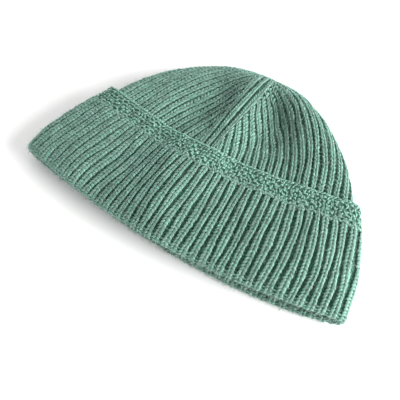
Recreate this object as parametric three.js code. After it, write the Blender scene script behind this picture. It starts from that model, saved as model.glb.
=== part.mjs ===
// A ribbed knit beanie with a deep turned-up cuff, lying flat on its back panel.
// Millimetres, +Z up. The open rim is towards -Y and the tip of the crown towards +Y.
// The knit is one tube: it runs from the tip down to the rim as the crown, folds outwards
// there and comes back up over itself as the cuff.
import * as THREE from 'three';

// Knit layers
const WALL = 3.2; // one layer of rib knit
const LAYER_GAP = 0.5; // air between the crown and the cuff turned up over it
const CREASE_RADIUS = 0.8; // inner radius that the knit keeps where it folds at the sides
const CROWN_INSIDE = CREASE_RADIUS; // distances out from the head hollow's outline
const CROWN_OUTSIDE = CROWN_INSIDE + WALL;
const CUFF_INSIDE = CROWN_OUTSIDE + LAYER_GAP;
const CUFF_OUTSIDE = CUFF_INSIDE + WALL;

// Ribs: one knit column and one purl column make one rib
const WEDGE_RIBS = [31, 26, 21]; // the crown narrows along three lines of decreases, these ribs apart
const RIBS = WEDGE_RIBS.reduce((sum, ribs) => sum + ribs, 0);
const RIB_DEPTH = 1.3; // from the crest of a knit column down to the purl groove
const FIRST_LINE = 0.2276; // the front line, a fraction around from the left side
const PRESSED_REACH = 4; // within this height of the surface that the hat lies on, its ribs press flat

// Cuff
const CUFF_HEIGHT = 81; // over the knit, from the rim fold to the free edge
const BAND_HEIGHT = 16.5; // seed stitch band under the free edge
const BAND_STEP = 0.35; // the band lies a little below the crests of the ribs
const EDGE_BEAD = 2.2; // height of the chain edge, which rounds off the top
const EDGE_CURL = 0.6; // the free edge stands this much further off the crown
const SEAM_GAP = 0.3; // between the end of the crown's wall and the rim fold

// Place of the finished part: the middle of its footprint is at the origin
const SHIFT_X = 0.39;
const SHIFT_Y = -85.6;

// Sections of the head hollow, measured over the knit from the rim fold to the tip.
// y is where the section passes the sides, the middle of the front and the middle of the back,
// whose right half lies backSkew further forward than its left half; z is its height at the top,
// at the side creases and where it rests. ribs is the number of ribs left all around.
const COLUMNS = [
  'along', 'halfWidth', 'sideY', 'frontY', 'backY', 'backSkew', 'topZ', 'sideZ', 'restZ', 'ribs',
];
const SECTIONS = [
  [0, 116, 22.5, 7.6, 11.2, -3.4, 16.5, 10, 7.2, 78],
  [24, 113.5, 41.5, 27.2, 29.2, -1.6, 20.5, 11.5, 7.2, 78],
  [49, 107, 63, 48.3, 50, 0, 22.5, 13.5, 7.2, 78],
  [81, 94.5, 90.5, 76.5, 79, 0, 23.5, 16, 7.2, 78],
  [104, 80.8, 114, 98.5, 99.5, 0, 24.5, 17.5, 4.4, 70],
  [125, 63.2, 134.5, 119, 120, 0, 25, 18, 3.6, 58],
  [145, 44.5, 149, 137, 138, 0, 25, 18, 3.6, 46],
  [161, 26.5, 157, 151, 153, 0, 24.5, 18, 5.4, 30],
  [173, 12, 160.5, 159, 160.5, 0, 21, 17, 10.3, 15],
  [181, 0.3, 162, 162, 162, 0, 16.2, 16, 15.8, 4],
].map((row) => Object.fromEntries(row.map((value, i) => [COLUMNS[i], value])));
const FRONT_FULLNESS = 2.2; // exponent of the front arch: 2 is an ellipse
const BACK_FULLNESS = 4; // the back panel is squarer, with a flat underside
const TIP_SHIFT_X = -2; // the tip leans a little to the left
const TIP = SECTIONS[SECTIONS.length - 1].along;

// Soft dents and swells of the front panel: where they lie, how far they reach along and around
// the knit, and how far they push it out
const DENTS = [
  { name: 'valley left of the front line', along: 112, around: 0.16, reach: [32, 11], push: -4.2 },
  { name: 'swell right of the front line', along: 112, around: 0.254, reach: [34, 12], push: 2.4 },
  { name: 'swell left of the front line, near the top', along: 148, around: 0.192, reach: [15, 12], push: 2.8 },
  { name: 'fold down the right wedge', along: 128, around: 0.314, reach: [29, 13], push: -5.6 },
  { name: 'shoulder high on the right wedge', along: 149, around: 0.365, reach: [15, 11], push: 4.0 },
  { name: 'lower end of that shoulder', along: 124, around: 0.408, reach: [22, 12], push: 2.6 },
  { name: 'ridge down the cuff', along: 46, around: 0.226, reach: [34, 15], push: 2.6 },
  { name: 'hollow left of that ridge', along: 32, around: 0.15, reach: [22, 13], push: -2.6 },
  { name: 'slack in the middle of the cuff', along: 30, around: 0.31, reach: [30, 20], push: -0.8 },
  { name: 'swell near the right of the rim', along: 14, around: 0.425, reach: [26, 15], push: 1.4 },
];

// Section outline: sample angles, closer together at the side creases
const HALF_STEPS = 120;
const SAMPLE_ANGLES = [];
for (let i = 0; i <= 2 * HALF_STEPS; i++) {
  const half = i <= HALF_STEPS ? 0 : 1;
  const t = (i - half * HALF_STEPS) / HALF_STEPS;
  SAMPLE_ANGLES.push(Math.PI * (half + 0.5 * (1 - Math.cos(Math.PI * t))));
}

/** Smooth value of one column of SECTIONS at a distance over the knit. */
function sectionValue(along, column) {
  const last = SECTIONS.length - 1;
  let i = 0;
  while (i < last - 1 && SECTIONS[i + 1].along <= along) i++;
  const lengthAfter = (a) => SECTIONS[a + 1].along - SECTIONS[a].along;
  const slopeBetween = (a) => (SECTIONS[a + 1][column] - SECTIONS[a][column]) / lengthAfter(a);
  const slopeAt = (a) => {
    if (a === 0) return slopeBetween(0);
    if (a === last) return slopeBetween(last - 1);
    const before = lengthAfter(a - 1);
    const after = lengthAfter(a);
    return (slopeBetween(a - 1) * after + slopeBetween(a) * before) / (before + after);
  };
  const span = lengthAfter(i);
  const t = (along - SECTIONS[i].along) / span;
  const startWeight = 2 * t ** 3 - 3 * t ** 2 + 1;
  const slopes = (t ** 3 - 2 * t ** 2 + t) * slopeAt(i) + (t ** 3 - t ** 2) * slopeAt(i + 1);
  return startWeight * SECTIONS[i][column] + (1 - startWeight) * SECTIONS[i + 1][column] + span * slopes;
}

/** Outline of the head hollow at one distance over the knit: a soft arch on a flat base. */
function hollowOutline(along) {
  const value = (column) => sectionValue(along, column);
  const halfWidth = value('halfWidth');
  const lean = TIP_SHIFT_X * THREE.MathUtils.clamp((along - CUFF_HEIGHT) / (TIP - CUFF_HEIGHT), 0, 1);
  return SAMPLE_ANGLES.map((angle) => {
    const isFront = angle <= Math.PI;
    const power = 2 / (isFront ? FRONT_FULLNESS : BACK_FULLNESS);
    const across = -Math.sign(Math.cos(angle)) * Math.abs(Math.cos(angle)) ** power;
    const arch = Math.abs(Math.sin(angle)) ** power;
    const midY = isFront ? value('frontY') : value('backY') + value('backSkew') * across;
    const midZ = isFront ? value('topZ') : value('restZ');
    const bow = 1 - across * across;
    return new THREE.Vector3(
      halfWidth * across + lean,
      value('sideY') + (midY - value('sideY')) * bow,
      value('sideZ') + (midZ - value('sideZ')) * arch,
    );
  });
}

/** Outline with its outward normals and its running length at mid wall, kept for reuse. */
const outlineCache = new Map();
function outlineAt(along) {
  if (outlineCache.has(along)) return outlineCache.get(along);
  const step = 0.5;
  const points = hollowOutline(along);
  const ahead = hollowOutline(Math.min(along + step, TIP - 0.1));
  const behind = hollowOutline(Math.max(along - step, 0));
  const count = points.length - 1;
  const normals = points.map((point, i) => {
    const next = points[i === count ? 1 : i + 1];
    const previous = points[i === 0 ? count - 1 : i - 1];
    const alongKnit = ahead[i].clone().sub(behind[i]);
    return next.clone().sub(previous).cross(alongKnit).normalize();
  });
  const lengths = [0];
  const midWall = CROWN_INSIDE + WALL / 2;
  const middle = points.map((point, i) => point.clone().addScaledVector(normals[i], midWall));
  for (let i = 1; i <= count; i++) lengths.push(lengths[i - 1] + middle[i].distanceTo(middle[i - 1]));
  const outline = { points, normals, lengths };
  outlineCache.set(along, outline);
  return outline;
}

/** How far the dents and swells push the knit out at a place on it. */
function dentAt(along, around, girth) {
  let push = 0;
  for (const dent of DENTS) {
    const [reachAlong, reachAround] = dent.reach;
    const rise = (along - dent.along) / reachAlong;
    const turn = ((around - dent.around) * girth) / reachAround;
    push += dent.push * Math.exp(-rise * rise - turn * turn);
  }
  return push;
}

/**
 * Point of the knit: distance over it from the rim fold, fraction around from the left crease,
 * and distance out from the head hollow. It never goes below the surface that the hat lies on.
 */
function knitPoint(along, around, out) {
  const { points, normals, lengths } = outlineAt(along);
  const girth = lengths[lengths.length - 1];
  const fraction = around - Math.floor(around);
  const target = fraction * girth;
  let i = 0;
  while (i < lengths.length - 2 && lengths[i + 1] < target) i++;
  const t = (target - lengths[i]) / (lengths[i + 1] - lengths[i]);
  const place = points[i].clone().lerp(points[i + 1], t);
  const normal = normals[i].clone().lerp(normals[i + 1], t);
  place.addScaledVector(normal, out + dentAt(along, fraction, girth));
  place.z = Math.max(place.z, 0);
  return place;
}

/** Point on the outer face, sunk by the rib relief, which fades where the hat lies on its ribs. */
function reliefPoint(along, around, out, sink) {
  const crest = knitPoint(along, around, out);
  const free = THREE.MathUtils.clamp(crest.z / PRESSED_REACH, 0, 1);
  return knitPoint(along, around, out - sink * free);
}

/**
 * Places around one row of knit, wedge by wedge: the raised column on the decrease line, the
 * column beside it and the ribs between, which keep their pitch while the wedge narrows. Each
 * has a key that matches the same rib in the next row, and groove is 1 in the purl grooves, 0 on
 * the crests. Without everyGroove only the crests are listed.
 */
function rowPlaces(ribs, everyGroove) {
  const places = [];
  let line = FIRST_LINE;
  WEDGE_RIBS.forEach((fullRibs, wedge) => {
    const half = Math.max(1, (fullRibs * Math.min(ribs, RIBS)) / RIBS) / 2;
    const add = (rib, key, groove) => {
      if (groove && !everyGroove) return;
      const around = line + (fullRibs / RIBS) * (0.5 + rib / (2 * half));
      places.push({ around, key: wedge + key, groove });
    };
    const sides = [
      { from: half, key: 0, groove: 0 },
      { from: half - 0.5, key: 0.01, groove: 1 },
      { from: half - 1, key: 0.02, groove: 0 },
      { from: half - 1.5, key: 0.03, groove: 1 },
    ].filter(({ from }) => from === half || from > 0.15);
    for (const { from, key, groove } of sides) add(-from, key, groove);
    for (let rib = 0.5 - fullRibs / 2; rib < fullRibs / 2; rib += 0.5) {
      const groove = Number.isInteger(rib + 0.5 - fullRibs / 2) ? 1 : 0;
      if (Math.abs(rib) < half - 1.75) add(rib, 0.5 + rib / (fullRibs + 4), groove);
    }
    for (const { from, key, groove } of sides.slice(1).reverse()) add(from, 1 - key, groove);
    line += fullRibs / RIBS;
  });
  return places;
}

/** Closed solid through a list of rings, each a list of keyed points, with optional end points. */
function solidThroughRings(rings, { first = null, last = null, closed = false } = {}) {
  const vertices = [];
  const triangles = [];
  const addVertex = (point) => vertices.push(point) - 1;
  const indexed = rings.map((ring) => ring.map(({ key, point }) => ({ key, index: addVertex(point) })));

  const zip = (ringA, ringB) => {
    const keyOf = (ring, i) => ring[i % ring.length].key + (i >= ring.length ? WEDGE_RIBS.length : 0);
    let a = 0;
    let b = 0;
    while (a < ringA.length || b < ringB.length) {
      const fromA = ringA[a % ringA.length].index;
      const fromB = ringB[b % ringB.length].index;
      const stepA = a < ringA.length && (b >= ringB.length || keyOf(ringA, a + 1) <= keyOf(ringB, b + 1));
      if (stepA) {
        triangles.push(fromA, ringA[(a + 1) % ringA.length].index, fromB);
        a++;
        if (b < ringB.length && keyOf(ringA, a) >= keyOf(ringB, b + 1)) {
          triangles.push(ringA[a % ringA.length].index, ringB[(b + 1) % ringB.length].index, fromB);
          b++;
        }
      } else {
        triangles.push(fromA, ringB[(b + 1) % ringB.length].index, fromB);
        b++;
      }
    }
  };
  for (let i = 0; i + 1 < indexed.length; i++) zip(indexed[i], indexed[i + 1]);
  if (closed) zip(indexed[indexed.length - 1], indexed[0]);

  const fan = (ring, point, flip) => {
    const hub = addVertex(point);
    ring.forEach(({ index }, i) => {
      const next = ring[(i + 1) % ring.length].index;
      triangles.push(hub, flip ? index : next, flip ? next : index);
    });
  };
  if (first) fan(indexed[0], first, false);
  if (last) fan(indexed[indexed.length - 1], last, true);

  const geometry = new THREE.BufferGeometry().setFromPoints(vertices);
  geometry.setIndex(triangles);
  geometry.translate(SHIFT_X, SHIFT_Y, 0);
  geometry.computeVertexNormals();
  return geometry;
}

/** Ring of points at one distance over the knit, on a smooth or a ribbed face. */
function knitRing(along, out, { ribs = RIBS, fine = false, depth = 0, drop = 0 } = {}) {
  return rowPlaces(ribs, fine).map(({ around, key, groove }) => {
    const point = reliefPoint(along, around, out, drop + depth * groove);
    return { key, point };
  });
}

// Rows where the cuff's inner face and the crown under it both have points, so that they nest
const FACING_ROWS = [79, 70, 60, 48, 36, 24, 12];

/** Crown: the body of the hat, hollow and open at the rim, closed at the tip. */
function crownGeometry() {
  const insideRows = [173, 161, 145, 125, 104, 81, 49, 24, SEAM_GAP];
  const coveredRows = [SEAM_GAP, ...[...FACING_ROWS].reverse()];
  const ribbedRows = [84, 90, 97, 104, 111, 118, 125, 132, 139, 145, 151, 156, 161, 165, 169, 172.5, 176];
  const rings = [];
  for (const along of insideRows) {
    rings.push(knitRing(along, CROWN_INSIDE, { ribs: sectionValue(along, 'ribs') }));
  }
  for (const along of coveredRows) rings.push(knitRing(along, CROWN_OUTSIDE));
  for (const along of ribbedRows) {
    const ribs = sectionValue(along, 'ribs');
    rings.push(knitRing(along, CROWN_OUTSIDE, { ribs, fine: true, depth: RIB_DEPTH }));
  }
  const tip = sectionValue(TIP, 'frontY');
  const tipHeight = sectionValue(TIP, 'sideZ');
  const first = new THREE.Vector3(TIP_SHIFT_X, tip + CROWN_INSIDE / 2, tipHeight);
  const last = new THREE.Vector3(TIP_SHIFT_X, tip + CROWN_OUTSIDE, tipHeight);
  return solidThroughRings(rings, { first, last });
}

/** Cuff: the turned-up layer with the rim fold at its foot and a seed stitch band at its top. */
function cuffGeometry() {
  const bandFoot = CUFF_HEIGHT - BAND_HEIGHT;
  const rings = [];

  // Inner face, up against the crown, from the free edge down to the rim
  rings.push(knitRing(CUFF_HEIGHT, CUFF_INSIDE + EDGE_CURL));
  for (const along of [...FACING_ROWS, 0]) rings.push(knitRing(along, CUFF_INSIDE));

  // Rim fold: a half round from the inner face of the hat to the outer face
  rings.push(knitRing(0, CROWN_INSIDE));
  const foldMiddle = (CUFF_OUTSIDE + CROWN_INSIDE) / 2;
  const foldRadius = (CUFF_OUTSIDE - CROWN_INSIDE) / 2;
  const foldSteps = [
    { angle: 50, fine: false },
    { angle: 100, fine: true },
    { angle: 145, fine: true },
  ];
  for (const { angle, fine } of foldSteps) {
    const turn = THREE.MathUtils.degToRad(angle);
    const ring = rowPlaces(RIBS, fine).map(({ around, key, groove }) => {
      const radius = foldRadius - (fine ? RIB_DEPTH * groove : 0);
      const point = knitPoint(0, around, foldMiddle - radius * Math.cos(turn));
      const forward = knitPoint(0, around, foldMiddle).sub(knitPoint(2, around, foldMiddle)).normalize();
      point.addScaledVector(forward, radius * Math.sin(turn));
      point.z = Math.max(point.z, 0);
      return { key, point };
    });
    rings.push(ring);
  }

  // Outer face, from the rim up to the free edge
  for (const along of [0, 16, 33, 49, bandFoot - 1]) {
    rings.push(knitRing(along, CUFF_OUTSIDE, { fine: true, depth: RIB_DEPTH }));
  }
  rings.push(knitRing(bandFoot + 1, CUFF_OUTSIDE, { drop: BAND_STEP }));
  rings.push(knitRing(CUFF_HEIGHT - EDGE_BEAD / 3, CUFF_OUTSIDE, { drop: BAND_STEP }));
  rings.push(knitRing(CUFF_HEIGHT, CUFF_OUTSIDE - WALL / 2));
  return solidThroughRings(rings, { closed: true });
}

// Materials: soft, matt wool in sage green
const crownWool = new THREE.MeshStandardMaterial({ color: 0x7fb09b, roughness: 0.95, metalness: 0 });
const cuffWool = new THREE.MeshStandardMaterial({ color: 0x88baa4, roughness: 0.95, metalness: 0 });

const crown = new THREE.Mesh(crownGeometry(), crownWool);
crown.name = 'crown';
const cuff = new THREE.Mesh(cuffGeometry(), cuffWool);
cuff.name = 'cuff';

const beanie = new THREE.Group();
beanie.add(crown, cuff);
export default beanie;
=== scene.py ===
"""A ribbed knit beanie lying on its back panel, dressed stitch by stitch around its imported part.

The tables give sizes in millimetres, as the part's source does, and they become metres where a
mesh is made. Every stitch is a grain of yarn laid at a row, a place around the hat and a height
over its wall, and the form of the hat carries it to its place in the frame. Rows and distances
along are measured over the knit from the rim, and places around are fractions of the way round
from the left crease.
"""

import logging
import math
from collections.abc import Callable
from dataclasses import dataclass, field
from enum import Enum
from typing import NamedTuple

import bpy
import numpy as np
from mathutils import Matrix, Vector


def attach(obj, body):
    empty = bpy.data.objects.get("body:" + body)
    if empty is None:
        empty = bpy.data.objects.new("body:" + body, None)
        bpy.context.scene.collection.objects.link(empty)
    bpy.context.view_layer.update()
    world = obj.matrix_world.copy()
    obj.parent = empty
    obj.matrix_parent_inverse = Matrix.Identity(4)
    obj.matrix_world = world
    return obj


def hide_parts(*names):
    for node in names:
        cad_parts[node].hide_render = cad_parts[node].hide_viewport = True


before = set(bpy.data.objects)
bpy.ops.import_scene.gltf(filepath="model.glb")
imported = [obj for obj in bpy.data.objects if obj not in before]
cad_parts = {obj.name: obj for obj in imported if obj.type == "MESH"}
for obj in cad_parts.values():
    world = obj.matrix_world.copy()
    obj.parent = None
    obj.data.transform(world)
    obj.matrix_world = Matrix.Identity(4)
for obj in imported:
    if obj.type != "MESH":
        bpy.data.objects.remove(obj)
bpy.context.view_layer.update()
log = logging.getLogger("beanie")
MM = 0.001
Array = np.ndarray
Piece = bpy.types.Object
Material = bpy.types.Material
Tree = bpy.types.NodeTree
Socket = bpy.types.NodeSocket


class Slot(Enum):
    """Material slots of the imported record."""

    CROWN = "crown_wool"
    CUFF = "cuff_wool"


class Side(Enum):
    """Half of the hat that a piece covers, as its range around from the left crease."""

    FRONT = (0.0, 0.5)
    BACK = (0.5, 1.0)


@dataclass(frozen=True)
class KnitSizes:
    """Driving dimensions of the knit, in millimetres; the walls and heights are the solids' own."""

    wall: float = 3.2
    layer_gap: float = 0.5
    crown_inside: float = 0.8
    wedge_ribs: tuple[int, ...] = (31, 26, 21)
    first_line: float = 0.2276
    cuff_height: float = 81.0
    band_height: float = 16.5
    edge_curl: float = 0.6
    curl_rows: float = 11.0
    seam_gap: float = 0.3
    tip: float = 181.0
    tip_shift: float = -2.0
    tip_width: float = 3.2  # rows over which the last stitches cross the tip
    front_fullness: float = 2.2
    back_fullness: float = 4.0
    row: float = 2.7
    shift: tuple[float, float, float] = (0.39, -85.6, 0.0)

    @property
    def ribs_around(self) -> int:
        """Number of ribs around the cuff."""
        return sum(self.wedge_ribs)

    @property
    def band_foot(self) -> float:
        """Row where the cuff's band begins."""
        return self.cuff_height - self.band_height

    @property
    def crown_outside(self) -> float:
        """Distance of the crown's outer face from the head hollow."""
        return self.crown_inside + self.wall

    @property
    def cuff_inside(self) -> float:
        """Distance of the cuff's inner face from the head hollow."""
        return self.crown_outside + self.layer_gap

    @property
    def cuff_outside(self) -> float:
        """Distance of the cuff's outer face from the head hollow."""
        return self.cuff_inside + self.wall

    @property
    def fold_radius(self) -> float:
        """Radius of the rim fold, which joins the hat's inner face to the cuff's outer face."""
        return (self.cuff_outside - self.crown_inside) / 2

    @property
    def fold_middle(self) -> float:
        """Distance of the fold's centre from the head hollow."""
        return (self.cuff_outside + self.crown_inside) / 2


SIZES = KnitSizes()
CROWN_PULL = 0.3  # the crown leans less than the cuff over it

SECTION_COLUMNS = (
    "along", "half_width", "side_y", "front_y", "back_y",
    "back_skew", "top_z", "side_z", "rest_z", "ribs",
)
SECTIONS = (
    (0, 116, 22.5, 7.6, 11.2, -3.4, 16.5, 10, 7.2, 78),
    (24, 113.5, 41.5, 27.2, 29.2, -1.6, 20.5, 11.5, 7.2, 78),
    (49, 107, 63, 48.3, 50, 0, 22.5, 13.5, 7.2, 78),
    (81, 94.5, 90.5, 76.5, 79, 0, 23.5, 16, 7.2, 78),
    (104, 80.8, 114, 98.5, 99.5, 0, 24.5, 17.5, 4.4, 70),
    (125, 63.2, 134.5, 119, 120, 0, 25, 18, 3.6, 58),
    (145, 44.5, 149, 137, 138, 0, 25, 18, 3.6, 46),
    (161, 26.5, 157, 151, 153, 0, 24.5, 18, 5.4, 30),
    (173, 12, 160.5, 159, 160.5, 0, 21, 17, 10.3, 15),
    (181, 0.3, 162, 162, 162, 0, 16.2, 16, 15.8, 4),
)


@dataclass(frozen=True)
class Spot:
    """A soft spot on the front panel: its middle, its reach in millimetres and how much it does."""

    along: float
    around: float
    reach_along: float
    reach_around: float
    amount: float


DENTS = (  # pushes in millimetres
    Spot(112, 0.16, 32, 11, -4.2),  # valley left of the front line
    Spot(112, 0.254, 34, 12, 2.4),  # swell right of the front line
    Spot(148, 0.192, 15, 12, 2.8),  # swell left of the front line, near the top
    Spot(128, 0.314, 29, 13, -5.6),  # fold down the right wedge
    Spot(149, 0.365, 15, 11, 4.0),  # shoulder high on the right wedge
    Spot(124, 0.408, 22, 12, 2.6),  # lower end of that shoulder
    Spot(46, 0.226, 34, 15, 2.6),  # ridge down the cuff
    Spot(32, 0.15, 22, 13, -2.6),  # hollow left of that ridge
    Spot(30, 0.31, 30, 20, -0.8),  # slack in the middle of the cuff
    Spot(14, 0.425, 26, 15, 1.4),  # swell near the right of the rim
)
PAINTED_LIGHT_AND_SHADE = (  # painted light and shade: how much lighter or darker the wool is painted where the form's light and shade fall, where 1 is a light stitch among others
    Spot(139, 0.358, 14, 9, -2.7),  # deep in the fold down the right wedge
    Spot(119, 0.385, 22, 14, -1.8),  # lower end of that fold
    Spot(156, 0.42, 13, 12, 1.4),  # right edge beyond that fold
    Spot(118, 0.262, 34, 13, 1.3),  # swell right of the front line
    Spot(124, 0.192, 30, 8, -1.3),  # valley left of that line
    Spot(143, 0.16, 10, 15, -1.5),  # hollow above that valley
    Spot(92, 0.1, 9, 45, 0.9),  # crown along the cuff's edge
    Spot(77, 0.28, 6, 50, 1.0),  # middle of the band
    Spot(50, 0.268, 22, 14, 1.1),  # ridge down the cuff
    Spot(8, 0.18, 9, 34, -0.8),  # turn of the rim
)


@dataclass(frozen=True)
class Wave:
    """A wave over the knit: height in millimetres, count around, rows to a radian and start."""

    height: float
    count: int
    slant: float
    start: float


STRAY = (Wave(0.42, 7, 17, 0), Wave(0.3, 19, -12, 1), Wave(0.2, 37, 9, 2), Wave(0.14, 29, -5, 0))
LUMPS = (Wave(0.3, 13, 14, 0), Wave(0.22, 31, -19, 2), Wave(0.12, 39, 6, 0))


@dataclass(frozen=True)
class Lean:
    """The long lean of the columns at the left of the cuff: where it lies and its millimetres."""

    start: float = -0.08
    start_softness: float = 0.025
    end: float = 0.176
    end_softness: float = 0.017
    at_rim: float = 3.6
    growth: float = 4.4
    growing_rows: float = 44.0
    last_row: float = 150.0
    fading_rows: float = 70.0


class KnitForm:
    """The hat's form: carries a row, a place around and a distance out to a point in the frame."""

    row_step = 0.5
    outline_points = 241  # over each of the two panels
    places_around = 1681
    stray_girth = 200.0  # the waves die out towards the tip from where the hat is this far around
    lump_girth = 300.0
    press = 0.3  # softness of the surface that the hat lies on, in square millimetres

    def __init__(self, sizes: KnitSizes) -> None:
        """Samples the head hollow's outline once, evenly around.

        Args:
            sizes: driving dimensions of the knit.
        """
        self.sizes = sizes
        self.table = dict(zip(SECTION_COLUMNS, np.array(SECTIONS, float).T))
        self.rows = np.arange(0.0, sizes.tip + self.row_step / 2, self.row_step)
        half = np.pi * 0.5 * (1 - np.cos(np.pi * np.linspace(0, 1, self.outline_points)))
        self._sample(self._hollow(np.concatenate([half, np.pi + half[1:]])))

    def section(self, column: str, along: Array | float) -> Array:
        """Smooth value of one column of the sections.

        Args:
            column: name of the column.
            along: distances over the knit.

        Returns:
            The column's values at those distances.
        """
        nodes, values = self.table["along"], self.table[column]
        gaps = np.diff(nodes)
        between = np.diff(values) / gaps
        slopes = np.concatenate([between[:1], between])
        slopes[1:-1] = (between[:-1] * gaps[1:] + between[1:] * gaps[:-1]) / (gaps[:-1] + gaps[1:])
        i = np.clip(np.searchsorted(nodes, along, side="right") - 1, 0, len(gaps) - 1)
        t = (along - nodes[i]) / gaps[i]
        start = 2 * t**3 - 3 * t**2 + 1
        turn = (t**3 - 2 * t**2 + t) * slopes[i] + (t**3 - t**2) * slopes[i + 1]
        return start * values[i] + (1 - start) * values[i + 1] + gaps[i] * turn

    def _hollow(self, angles: Array) -> Array:
        """Outline points of the head hollow at every sampled row.

        Args:
            angles: places on the outline, from the left crease over the front.

        Returns:
            Points of shape (rows, angles, 3).
        """
        sizes = self.sizes
        front = (angles <= np.pi)[None, :]
        power = np.where(front, 2 / sizes.front_fullness, 2 / sizes.back_fullness)
        across = -np.sign(np.cos(angles)) * np.abs(np.cos(angles)) ** power
        arch = np.abs(np.sin(angles)) ** power
        value = {name: self.section(name, self.rows)[:, None] for name in SECTION_COLUMNS}
        mid_y = np.where(front, value["front_y"], value["back_y"])
        mid_z = np.where(front, value["top_z"], value["rest_z"])
        skew = np.where(front, 0.0, value["back_skew"]) * across
        rise = (self.rows - sizes.cuff_height) / (sizes.tip - sizes.cuff_height)
        x = value["half_width"] * across + sizes.tip_shift * np.clip(rise, 0, 1)[:, None]
        y = value["side_y"] + (mid_y + skew - value["side_y"]) * (1 - across**2)
        z = value["side_z"] + (mid_z - value["side_z"]) * arch
        return np.stack(np.broadcast_arrays(x, y, z), axis=-1)

    def _sample(self, points: Array) -> None:
        """Keeps the outline, its outward normals and its girth at places even around.

        Args:
            points: outline points of shape (rows, angles, 3).
        """
        following = np.concatenate([points[:, 1:], points[:, 1:2]], axis=1)
        before = np.concatenate([points[:, -2:-1], points[:, :-1]], axis=1)
        ahead = np.concatenate([points[1:], points[-1:]])
        behind = np.concatenate([points[:1], points[:-1]])
        normals = np.cross(following - before, ahead - behind)
        normals /= np.linalg.norm(normals, axis=-1, keepdims=True)
        middle = points + normals * (self.sizes.crown_inside + self.sizes.wall / 2)
        steps = np.linalg.norm(np.diff(middle, axis=1), axis=-1)
        lengths = np.concatenate([np.zeros((len(points), 1)), np.cumsum(steps, axis=1)], axis=1)
        self.girths = lengths[:, -1]
        places = np.linspace(0, 1, self.places_around)
        self.grid = np.empty((len(points), len(places), 6))
        for i, row in enumerate(np.concatenate([points, normals], axis=-1)):
            for c in range(6):
                self.grid[i, :, c] = np.interp(places, lengths[i] / self.girths[i], row[:, c])

    def girth(self, along: Array | float) -> Array:
        """Length around the wall's middle at a distance over the knit."""
        return np.interp(along, self.rows, self.girths)

    @staticmethod
    def ripple(waves: tuple[Wave, ...], along: Array, around: Array) -> Array:
        """Adds up waves at places on the knit."""
        turn = 2 * np.pi * around
        return sum(w.height * np.sin(w.count * turn + along / w.slant + w.start) for w in waves)

    def wander(self, along: Array, around: Array, pull: float) -> Array:
        """How far the columns stray sideways: all waver a little, and those at the left lean over.

        Args:
            along: distances over the knit.
            around: places around.
            pull: share of the full lean.

        Returns:
            The shift to the right of every place, in millimetres.
        """
        lean = Lean()
        turned = (around + 0.5) % 1.0 - 0.5
        left = 1 / (1 + np.exp((turned - lean.end) / lean.end_softness))
        left = left / (1 + np.exp(-(turned - lean.start) / lean.start_softness))
        rise = np.clip(along / lean.growing_rows, 0, 1)
        fade = np.clip((lean.last_row - along) / lean.fading_rows, 0, 1)
        leaning = pull * left * (lean.at_rim + lean.growth * rise * rise * (3 - 2 * rise)) * fade
        fading = np.clip(self.girth(along) / self.stray_girth, 0, 1)
        return (self.ripple(STRAY, along, around) + leaning) * fading

    def lumps(self, along: Array, around: Array) -> Array:
        """Small rises and hollows of the wall over several stitches."""
        return self.ripple(LUMPS, along, around) * np.clip(self.girth(along) / self.lump_girth, 0, 1)

    @staticmethod
    def slack(around: Array) -> Array:
        """How far the ribs close up: 1 at the left crease, where they lie full, 0 at the right."""
        return (0.5 + 0.5 * np.cos(2 * np.pi * around)) ** 6

    def spread(self, spots: tuple[Spot, ...], along: Array, around: Array) -> Array:
        """Adds up soft spots at places on the knit.

        Args:
            spots: the spots.
            along: distances over the knit.
            around: places around.

        Returns:
            Their sum at every place.
        """
        girth = self.girth(along)
        total = np.zeros(np.broadcast(along, around).shape)
        for spot in spots:
            rise = (along - spot.along) / spot.reach_along
            turn = (around - spot.around) * girth / spot.reach_around
            total += spot.amount * np.exp(-(rise**2) - turn**2)
        return total

    def free_point(self, along: Array, around: Array, out: Array, pull: float = 1.0) -> Array:
        """Point of the knit as if nothing lay under the hat.

        Args:
            along: distances over the knit.
            around: places around.
            out: distances out from the head hollow.
            pull: share of the sideways lean of the cuff's left.

        Returns:
            Points in millimetres.
        """
        along, around, out = np.broadcast_arrays(along, around, out)
        shifted = around + self.wander(along, around, pull) / self.girth(along)
        last = self.places_around - 1
        row = np.clip(along / self.row_step, 0, len(self.rows) - 1.001)
        column = (shifted % 1.0) * last
        i, j = row.astype(int), np.minimum(column.astype(int), last - 1)
        u, v = (row - i)[..., None], (column - j)[..., None]
        low = self.grid[i, j] * (1 - v) + self.grid[i, j + 1] * v
        high = self.grid[i + 1, j] * (1 - v) + self.grid[i + 1, j + 1] * v
        both = low * (1 - u) + high * u
        normal = both[..., 3:] / np.linalg.norm(both[..., 3:], axis=-1, keepdims=True)
        push = out + self.spread(DENTS, along, shifted % 1.0) + self.lumps(along, around)
        return both[..., :3] + normal * push[..., None]

    def rest(self, points: Array) -> Array:
        """Presses points softly onto the surface that the hat lies on, and shifts them home."""
        z = points[..., 2]
        pressed = 0.5 * (z + np.sqrt(z * z + self.press))
        resting = np.concatenate([points[..., :2], pressed[..., None]], axis=-1)
        return resting + np.array(self.sizes.shift)

    def crown_point(self, row: Array, around: Array, height: Array) -> Array:
        """Point on the crown, at a height over its outer face.

        Args:
            row: distances over the knit; those past the tip cross over to its far side.
            around: places around.
            height: heights over the knit's face.

        Returns:
            Points in millimetres.
        """
        row, around, out = np.broadcast_arrays(row, around, self.sizes.crown_outside + height)
        point = self.free_point(row, around, out, CROWN_PULL)
        past = row > self.sizes.tip
        across = self.free_point(row[past], around[past] + 0.5, out[past], CROWN_PULL)
        share = np.clip((row[past] - self.sizes.tip) / self.sizes.tip_width, 0, 1)[:, None]
        point[past] += (across - point[past]) * share
        return self.rest(point)

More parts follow.
